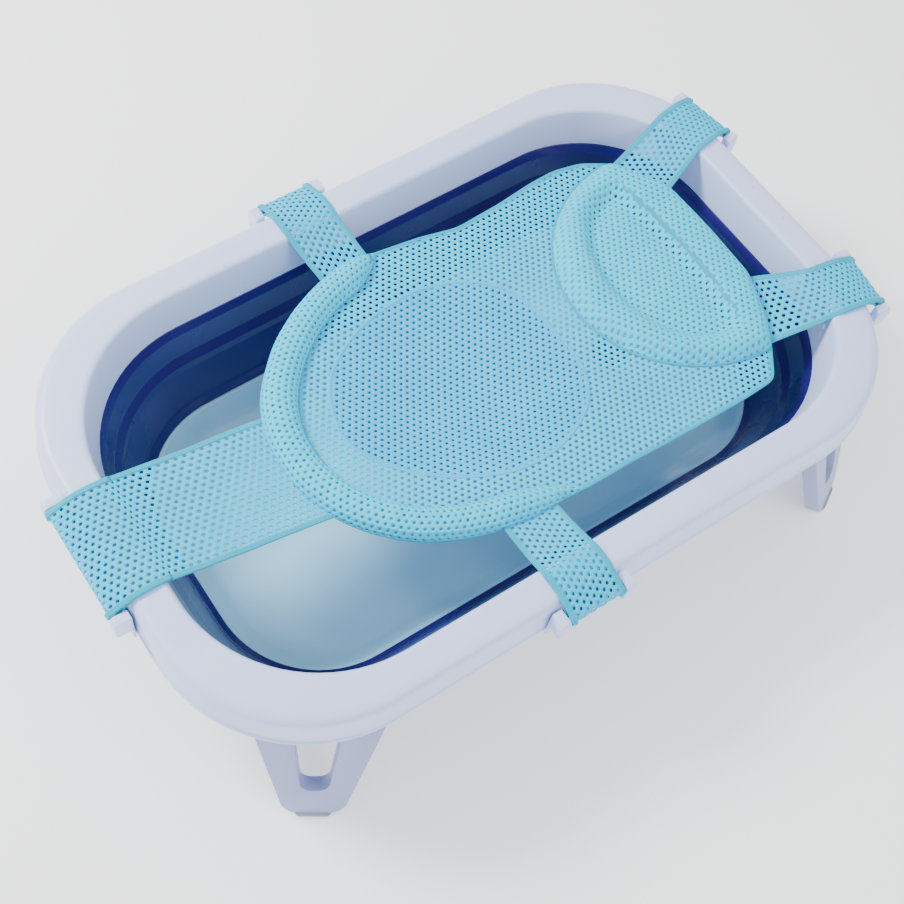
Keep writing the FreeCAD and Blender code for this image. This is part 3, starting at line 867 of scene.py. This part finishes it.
def make_sling():
    """Net body of the sling, with its bound edge and a row of stitches."""
    edge = sling_edge()
    cloth = perforated("sling_cloth", Region(edge, seat_loop(-0.004)), on_sling, "mesh")
    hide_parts("sling_mesh")
    path = [on_sling(x, y) for x, y in edge]
    across = loop_across(path)
    hem = [spot + side * SEAM * 0.6 for spot, side in zip(path, across)]
    binding = flat_tube("sling_hem", hem, across, SEAM, TAPE, "binding", True)
    line = [spot + side * SEAM * 2.6 + Vector((0, 0, 0.0011)) for spot, side in zip(path, across)]
    thread = stitches("sling_stitches", [line + line[:1]])
    for piece in (cloth, binding, thread):
        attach(piece, "frame")


def make_seat_panel():
    """Paler net panel sewn into the seat, with a lining under it and stitches round it."""
    panel = perforated("seat_panel", Region(seat_loop()), lambda x, y: on_sling(x, y, 0.0006),
                       "seat", hole=SEAT_HOLE)
    rim = seat_loop(-0.001)
    rings, count = 24, len(rim)
    points = [on_sling(SEAT_X, SEAT_Y, -LINING_DROP)]
    for share in (r / rings for r in range(1, rings + 1)):
        points += [on_sling(SEAT_X + (x - SEAT_X) * share, SEAT_Y + (y - SEAT_Y) * share, -LINING_DROP)
                   for x, y in rim]
    faces = [(0, 1 + k, 1 + (k + 1) % count) for k in range(count)]
    faces += [tuple(1 + i for i in face) for face in join_rows(rings, count, False, True)]
    lining = outward(make_piece("seat_lining", points, faces, "under"))
    thicken(lining, 0.0008)
    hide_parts("sling_seat")
    line = [on_sling(x, y, 0.0014) for x, y in seat_loop(-0.0024)]
    thread = stitches("seat_stitches", [line + line[:1]])
    hem = [on_sling(x, y, 0.0007) for x, y in seat_loop(-0.0008)]
    edging = flat_tube("seat_edging", hem, loop_across(hem), TAPE, 0.0010, "seat", True)
    for piece in (panel, lining, thread, edging):
        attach(piece, "frame")


class HipRing:
    """Padded tube along the sling's round edge, tapering to points at its open ends."""

    def __init__(self):
        steps = 260
        self.line = []
        for k in range(steps + 1):
            x, y = hip_point(RING_START + (RING_END - RING_START) * k / steps)
            self.line.append(Vector((x, y, 0)))
        self.at = [0.0]
        for before, after in zip(self.line, self.line[1:]):
            self.at.append(self.at[-1] + (after - before).length)
        self.length = self.at[-1]

    def fullness(self, s):
        """Share of the full section at arc length s."""
        share = min(1.0, s / RING_TAPER[0], (self.length - s) / RING_TAPER[1])
        return 0.12 + 0.88 * math.sin(math.pi / 2 * max(share, 0.0)) ** 0.8

    def spot(self, s, turn, shrink=0.0, lift=0.0):
        """Point at arc length s, turned across the section from -1 (outer side) to 1."""
        s = min(max(s, 0.0), self.length)
        k = min(int(s / self.length * (len(self.line) - 1)), len(self.line) - 2)
        share = (s - self.at[k]) / (self.at[k + 1] - self.at[k])
        edge = self.line[k].lerp(self.line[k + 1], share)
        side = towards(RING_X, edge)
        full = self.fullness(s)
        half = RING_HALF * full * (1 + RING_SWELL * math.sin(math.pi * s / self.length) ** 2)
        pucker = 1 + 0.05 * math.sin(s * 300 + 3 * noise.noise(edge * 22)) * (1 - turn * turn)
        angle = turn * math.pi / 2
        wide = half + (half - shrink) * math.sin(angle) * (1.0 + 0.06 * noise.noise(edge * 12))
        high = (RING_HEIGHT * full ** 0.8 * pucker - shrink) * math.cos(angle) ** (0.7 if turn < 0 else 1.0)
        flat = edge + side * wide
        return Vector((flat.x, flat.y, sling_height(flat.x, flat.y) + 0.0008 + lift + max(high, 0.0)))

    def make(self):
        stations = [self.length * k / 160 for k in range(161)]
        loop = [(u, -RING_ACROSS * self.fullness(u)) for u in stations]
        loop += [(u, RING_ACROSS * self.fullness(u)) for u in reversed(stations)]

        def place(u, v):
            return self.spot(u, max(-1, min(1, v / RING_ACROSS / self.fullness(u))))

        cover = perforated("hip_ring_cover", Region(loop), place, "pad_cover", hole=PAD_HOLE)
        columns, rows = 15, 170
        points = []
        for r in range(rows):
            s = 0.006 + (self.length - 0.020) * r / (rows - 1)
            shrink = 0.0010 * self.fullness(s)
            for c in range(columns):
                points.append(self.spot(s, -1 + 2 * c / (columns - 1), shrink))
            for c in range(1, columns - 1):
                low = self.spot(s, 1 - 2 * c / (columns - 1), shrink)
                points.append(Vector((low.x, low.y, sling_height(low.x, low.y) + 0.0006)))
        around = 2 * columns - 2
        faces = join_rows(rows, around, False, True)
        last = (rows - 1) * around
        faces += [tuple(range(around)), tuple(last + k for k in reversed(range(around)))]
        core = outward(make_piece("hip_ring_foam", points, faces, "foam"))
        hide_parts("hip_ring")
        seam = [self.spot(self.length * k / 240, 0.985, 0, 0.0004) for k in range(241)]
        sides = [towards(RING_X, p) for p in seam]
        tape = flat_tube("hip_ring_seam", seam, sides, PIPING, 0.0008, "binding")
        for piece in (cover, core, tape):
            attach(piece, "frame")


def pillow_loop(grow=0.0):
    """Plan points round the head pillow: half an ellipse, then the sling's own edge."""
    loop = []
    for k in range(81):
        a = math.radians(93 + 174 * k / 80)
        loop.append((PILLOW_X + (PILLOW_RX + grow) * math.cos(a), (PILLOW_RY + grow) * math.sin(a)))
    tip = [p for p in sling_edge() if p[0] > PILLOW_X - 0.004]
    tip.sort(key=lambda p: math.atan2(p[1], p[0] - RECESS_X))
    return loop + [(x - grow * 0.5 - 0.001, y) for x, y in tip]


def recess_gap(x, y):
    """Distance outward from the head pillow's sunken D; negative inside it."""
    x -= RECESS_BOW * max(0.0, 1 - (y / RECESS_RY) ** 2)
    if x < RECESS_X:
        reach = math.hypot((x - RECESS_X) / RECESS_RX, y / RECESS_RY)
        return max((reach - 1) * 0.092, (x - RECESS_X) if reach < 1 else -1.0)
    return math.hypot(x - RECESS_X, max(0.0, abs(y) - RECESS_RY))


def soft_step(gap, width, power):
    """Padding's rise from 0 at a seam to 1 at width from it."""
    return math.sin(math.pi / 2 * min(1.0, max(gap, 0.0) / width)) ** power


def make_head_pillow():
    """D-shaped padded bolster with a sunken middle, sewn on at the sling's head end."""
    region = Region(pillow_loop())

    def rise(x, y):
        """Height of the pillow's top over the sling."""
        outer = region.nearest(x, y)[0] if region.contains(x, y) else 0.0
        inner = recess_gap(x, y)
        width = PILLOW_SLOPE / 2 if x > RECESS_X else PILLOW_SLOPE
        crown = min(soft_step(outer, 0.017, 0.75), soft_step(inner, width, 0.8))
        rumple = 1 + 0.10 * noise.noise(Vector((x * 40, y * 40, 2.0)))
        belly = PILLOW_BELLY * soft_step(-inner, 0.030, 1.0) if inner < 0 else 0.0
        return RECESS_RISE * min(1.0, outer / 0.01) + belly + (PILLOW_RISE - RECESS_RISE) * crown * rumple

    cover = perforated("head_pillow_cover", region, lambda x, y: on_sling(x, y, 0.0008 + rise(x, y)),
                       "pad_cover", hole=PAD_HOLE)
    rays, steps = 120, 34
    centre = (RECESS_X - 0.02, 0.0)
    rows = []
    for angle in (math.tau * k / rays for k in range(rays)):
        c, s = math.cos(angle), math.sin(angle)
        near, far = 0.0, 0.25
        for _ in range(16):
            middle = (near + far) / 2
            if region.contains(centre[0] + c * middle, centre[1] + s * middle):
                near = middle
            else:
                far = middle
        reaches = [near * i / steps * 0.992 for i in range(1, steps + 1)]
        rows.append([(centre[0] + c * reach, centre[1] + s * reach) for reach in reaches])
    points = []
    for row in rows:
        points += [on_sling(x, y, 0.0001 + max(rise(x, y), 0.0008)) for x, y in row]
        points += [on_sling(x, y, 0.0005) for x, y in reversed(row)]
    faces = join_rows(rays, 2 * steps, True, False)
    up, down = len(points), len(points) + 1
    points += [on_sling(*centre, 0.0001 + rise(*centre)), on_sling(*centre, 0.0005)]
    for k in range(rays):
        a, b = k * 2 * steps, ((k + 1) % rays) * 2 * steps
        faces += [(up, a, b), (down, b + 2 * steps - 1, a + 2 * steps - 1)]
    core = outward(make_piece("head_pillow_foam", points, faces, "foam"))
    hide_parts("head_pillow")
    arc = [on_sling(x, y, 0.0016) for x, y in pillow_loop(0.0006)[:81]]
    sides = [towards(PILLOW_X, p) for p in arc]
    tape = flat_tube("head_pillow_seam", arc, sides, PIPING, 0.0010, "binding")
    # Partly seam, partly painted shade: a strip of the darker binding cloth laid along the D's straight
    # crease stands for the seam there and for the shade in its groove.
    shares = [(k / 30 - 1) * 0.96 for k in range(61)]
    crease = [on_sling(RECESS_X - 0.0008 + RECESS_BOW * (1 - share * share), RECESS_RY * share, 0.0040)
              for share in shares]
    fold = flat_tube("head_pillow_crease_shade", crease, [Vector((1, 0, 0))] * 61, 0.0010, 0.0012, "binding")
    for piece in (cover, core, tape, fold):
        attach(piece, "frame")


def make_padding():
    HipRing().make()
    make_head_pillow()


# --- straps -------------------------------------------------------------------------------------
def catmull(points, per_span):
    """Smooth curve through points."""
    padded = [points[0] * 2 - points[1]] + points + [points[-1] * 2 - points[-2]]
    curve = []
    for a, b, c, d in zip(padded, padded[1:], padded[2:], padded[3:]):
        for k in range(per_span):
            t = k / per_span
            curve.append(0.5 * (2 * b + (c - a) * t + (2 * a - 5 * b + 4 * c - d) * t * t
                                + (3 * b - a - 3 * c + d) * t ** 3))
    return curve + [points[-1]]


class Strap:
    """Band of net cloth from the sling, over the rim and round its hook's bar."""

    def __init__(self, name, ends):
        joint = next(j for j in frame["joints"] if j["name"] == "unhook_" + name)
        axis = Vector(joint["axis"])
        self.name = name
        self.edge = Vector((joint["pos_m"][0], joint["pos_m"][1], 0))
        self.out = Vector((-axis.y, axis.x, 0))
        self.side = Vector((-self.out.y, self.out.x, 0))
        self.half = STRAP_WIDTH[name] / 2
        ends = [Vector((*p, 0)) for p in ends]
        self.low_end, self.high_end = sorted(ends, key=lambda p: p.dot(self.side))
        middle = (self.low_end + self.high_end) / 2
        self.run = (self.edge - middle).dot(self.out)
        self.start_z = sling_height(middle.x, middle.y) - 0.0014
        self.knee = HEAD_KNEE if name.startswith("head") else KNEE
        bar = Vector((BAR_OUT, RIM_Z - BAR_DROP))
        knee = Vector((-self.knee, RIM_Z + 0.0021))
        root = Vector((-self.run, self.start_z))
        over = [root,
                root.lerp(knee, 0.5), root.lerp(knee, 0.88),
                Vector((-self.knee + 0.006, RIM_Z + 0.0027)),
                Vector((-0.020, RIM_Z + 0.0029)), Vector((-0.0105, RIM_Z + 0.0024)),
                Vector((-0.0030, RIM_Z + 0.0002)), Vector((0.0040, RIM_Z - 0.0024)),
                Vector((0.0100, RIM_Z - 0.0050))]
        loop = [bar + BAR_WRAP * Vector((math.cos(a), math.sin(a)))
                for a in (math.radians(d) for d in (50, 0, -50, -100, -150))]
        back = [Vector((0.0040, RIM_Z - 0.0088)), Vector((-0.0040, RIM_Z - 0.0024)),
                Vector((-0.0105, RIM_Z + 0.0008)), Vector((-0.0200, RIM_Z + 0.0012)),
                Vector((-self.knee + 0.002, RIM_Z + 0.0011))]
        if name == "foot":
            back.append(Vector((-self.knee - 0.012, RIM_Z - 0.0030)))
            back.append(Vector((-self.knee - 0.030, RIM_Z - 0.0068)))
        self.path = catmull(over + loop + back, 10)
        self.at = [0.0]
        for before, after in zip(self.path, self.path[1:]):
            self.at.append(self.at[-1] + (after - before).length)
        self.length = self.at[-1]

    def spot(self, s, w, lift=0.0):
        """Point at arc length s and w across the band; the free stretch spreads to its sewn end."""
        s = min(max(s, 0.0), self.length - 1e-6)
        k = 0
        while self.at[k + 1] < s:
            k += 1
        here = self.path[k].lerp(self.path[k + 1], (s - self.at[k]) / (self.at[k + 1] - self.at[k]))
        ahead = (self.path[k + 1] - self.path[k]).normalized()
        here = here + Vector((-ahead.y, ahead.x)) * lift
        reach = here.x + self.run
        flat = self.edge + self.out * here.x + self.side * w
        free = self.run - self.knee
        ripple = 0.0
        if s < self.length / 2 and reach < free:
            share = smooth(reach / free) * 0.35 + reach / free * 0.65
            start = self.low_end.lerp(self.high_end, (w / self.half + 1) / 2)
            knee = self.edge - self.out * self.knee + self.side * w
            flat = start.lerp(knee, share)
            curl = math.sin(math.pi * share)
            ripple = curl * (0.0016 * noise.noise(Vector((s * 30, w * 30, len(self.name)))) - 0.0015)
        return Vector((flat.x, flat.y, here.y + ripple))

    def make(self):
        half = self.half - 0.001
        loop = [(0.0, -half), (self.length, -half), (self.length, half), (0.0, half)]
        cloth = perforated("strap_%s_cloth" % self.name, Region(loop), self.spot, "strap")
        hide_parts("strap_" + self.name, "strap_loop_" + self.name)
        pieces = [cloth]
        steps = round(self.length / 0.0025)
        threads = []
        stations = [self.length * k / steps for k in range(steps + 1)]
        for label, sign in (("low", -1), ("high", 1)):
            path = [self.spot(s, sign * (self.half - BINDING * 0.8)) for s in stations]
            outer = [self.spot(s, sign * self.half) for s in stations]
            across = [(b - a).normalized() for a, b in zip(path, outer)]
            pieces.append(flat_tube("strap_%s_binding_%s" % (self.name, label), path, across,
                                    BINDING, TAPE, "binding"))
            threads.append([self.spot(s, sign * (self.half - BINDING * 1.35), TAPE) for s in stations])
        pieces.append(stitches("strap_%s_stitches" % self.name, threads))
        for piece in pieces:
            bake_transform(piece)
        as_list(pieces[1:])


def make_straps():
    ends = {"foot": ((-0.208, -0.064), (-0.208, 0.060)), "back": ((-0.076, 0.156), (-0.018, 0.160)),
            "front": ((-0.081, -0.150), (-0.023, -0.156)), "head_back": ((0.3205, 0.077), (0.284, 0.137)),
            "head_front": ((0.3205, -0.059), (0.282, -0.136))}
    for name, pair in ends.items():
        Strap(name, [(MIDDLE_X + x, y) for x, y in pair]).make()


# --- stage --------------------------------------------------------------------------------------
AZIMUTH, ELEVATION, ROLL = -47.24, 60.76, 13.9
CAMERA_DISTANCE = 1.185
AIM = Vector((MIDDLE_X - 0.0851, -0.0744, RIM_Z))
LENS = 50.27


def make_camera():
    az, el, roll = (math.radians(v) for v in (AZIMUTH, ELEVATION, ROLL))
    back = Vector((math.sin(az) * math.cos(el), -math.cos(az) * math.cos(el), math.sin(el)))
    right = (-back).cross(Vector((0, 0, 1))).normalized()
    up = right.cross(-back)
    turned_right = right * math.cos(roll) + up * math.sin(roll)
    turned_up = up * math.cos(roll) - right * math.sin(roll)
    data = bpy.data.cameras.new("view")
    data.lens = LENS
    data.sensor_width = 36.0
    data.clip_start = 0.05
    camera = bpy.data.objects.new("view", data)
    bpy.context.scene.collection.objects.link(camera)
    turn = Matrix((turned_right, turned_up, back)).transposed().to_4x4()
    camera.matrix_world = Matrix.Translation(AIM + back * CAMERA_DISTANCE) @ turn
    bpy.context.scene.camera = camera


def make_light(name, place, aim, size, power, colour=(1, 1, 1)):
    data = bpy.data.lights.new(name, "AREA")
    data.shape = "DISK"
    data.size = size
    data.energy = power
    data.color = colour
    lamp = bpy.data.objects.new(name, data)
    bpy.context.scene.collection.objects.link(lamp)
    lamp.location = place
    lamp.rotation_euler = (Vector(aim) - Vector(place)).to_track_quat("-Z", "Y").to_euler()


def make_stage():
    """Plain pale floor, sky and two soft lamps."""
    material, nodes, links, shader = blank("studio_floor")
    shader.inputs["Base Color"].default_value = (0.95, 0.95, 0.96, 1)
    shader.inputs["Roughness"].default_value = 0.9
    shader.inputs["Emission Color"].default_value = (1, 1, 1, 1)
    shader.inputs["Emission Strength"].default_value = 0.5
    mesh = bpy.data.meshes.new("studio_floor")
    reach = 6.0
    mesh.from_pydata([(-reach, -reach, 0), (reach, -reach, 0), (reach, reach, 0), (-reach, reach, 0)],
                     [], [(0, 1, 2, 3)])
    mesh.materials.append(material)
    floor = bpy.data.objects.new("studio_floor", mesh)
    bpy.context.scene.collection.objects.link(floor)
    world = bpy.data.worlds.new("studio")
    world.use_nodes = True
    sky = world.node_tree.nodes["Background"]
    sky.inputs["Color"].default_value = (0.95, 0.97, 1.0, 1)
    sky.inputs["Strength"].default_value = 1.1
    bpy.context.scene.world = world
    make_light("key", (-1.1, 1.3, 1.7), (0, 0, 0.1), 0.7, 78)
    make_light("fill", (0.6, -1.8, 1.9), (0, 0, 0.1), 1.8, 26, (0.95, 0.97, 1))


make_camera()
make_stage()
make_rim()
make_rim_dots()
make_soft_wall()
make_tray()
make_tray_ribs()
make_hard_parts()
make_straps()
make_sling()
make_seat_panel()
make_padding()
